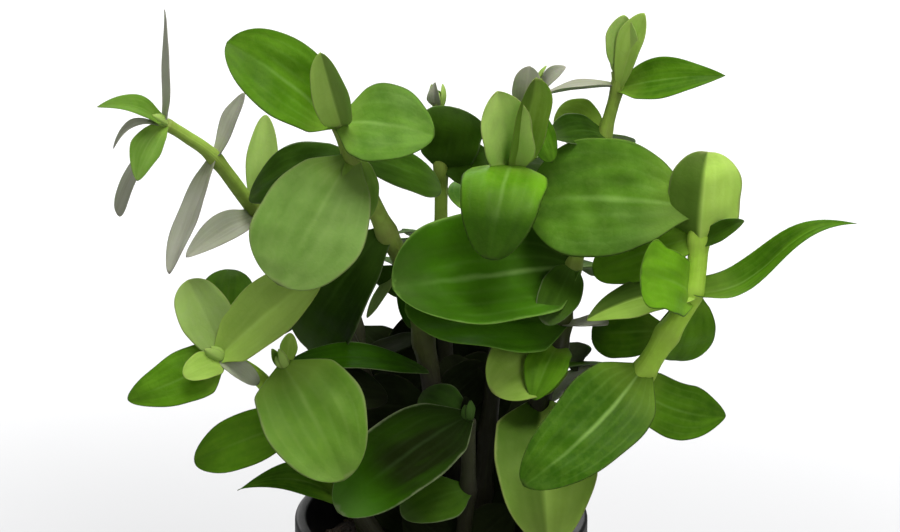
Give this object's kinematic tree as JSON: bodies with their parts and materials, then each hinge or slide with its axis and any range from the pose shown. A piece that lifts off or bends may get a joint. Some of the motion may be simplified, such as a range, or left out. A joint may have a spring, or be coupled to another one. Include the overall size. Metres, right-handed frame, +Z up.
{
  "type": "potted bacopa",
  "caption": "Small leafy bacopa with arching stems and paired oval leaves, rooted in dark soil in a plain tapered black pot.",
  "frame": {"origin": "centre of the pot's flat underside, on the surface it stands on", "axes": "+Z up along the pot's axis, -Y towards the side seen in the picture, +X to the right of that view"},
  "size_m": [0.1252, 0.0844, 0.139],
  "materials": {
    "leaf": "satin",
    "stem": "satin",
    "soil": "matte",
    "pot": "satin"
  },
  "bodies": {
    "root": {"leaf_back_1": "leaf", "leaf_back_2": "leaf", "leaf_back_3": "leaf", "leaf_back_left_1": "leaf", "leaf_back_left_2": "leaf", "leaf_back_left_3": "leaf", "leaf_centre_1": "leaf", "leaf_centre_2": "leaf", "leaf_centre_3": "leaf", "leaf_centre_4": "leaf", "leaf_centre_back_1": "leaf", "leaf_far_left_1": "leaf", "leaf_far_left_2": "leaf", "leaf_far_left_3": "leaf", "leaf_far_left_4": "leaf", "leaf_front_1": "leaf", "leaf_front_2": "leaf", "leaf_front_left_1": "leaf", "leaf_front_left_2": "leaf", "leaf_front_left_3": "leaf", "leaf_front_left_4": "leaf", "leaf_lower_left_1": "leaf", "leaf_lower_left_2": "leaf", "leaf_lower_left_3": "leaf", "leaf_lower_left_4": "leaf", "leaf_right_1": "leaf", "leaf_right_10": "leaf", "leaf_right_2": "leaf", "leaf_right_3": "leaf", "leaf_right_4": "leaf", "leaf_right_5": "leaf", "leaf_right_6": "leaf", "leaf_right_7": "leaf", "leaf_right_8": "leaf", "leaf_right_9": "leaf", "leaf_right_back_1": "leaf", "leaf_right_back_2": "leaf", "leaf_right_back_3": "leaf", "leaf_right_back_4": "leaf", "leaf_right_back_5": "leaf", "leaf_right_back_6": "leaf", "leaf_upper_left_1": "leaf", "leaf_upper_left_2": "leaf", "leaf_upper_left_3": "leaf", "leaf_upper_left_4": "leaf", "leaf_upper_left_5": "leaf", "leaf_upper_left_6": "leaf", "pot": "pot", "soil": "soil", "stem_back": "stem", "stem_back_left": "stem", "stem_centre": "stem", "stem_centre_back": "stem", "stem_far_left": "stem", "stem_front": "stem", "stem_front_left": "stem", "stem_lower_left": "stem", "stem_right": "stem", "stem_right_back": "stem", "stem_upper_left": "stem"}
  },
  "joints": []
}
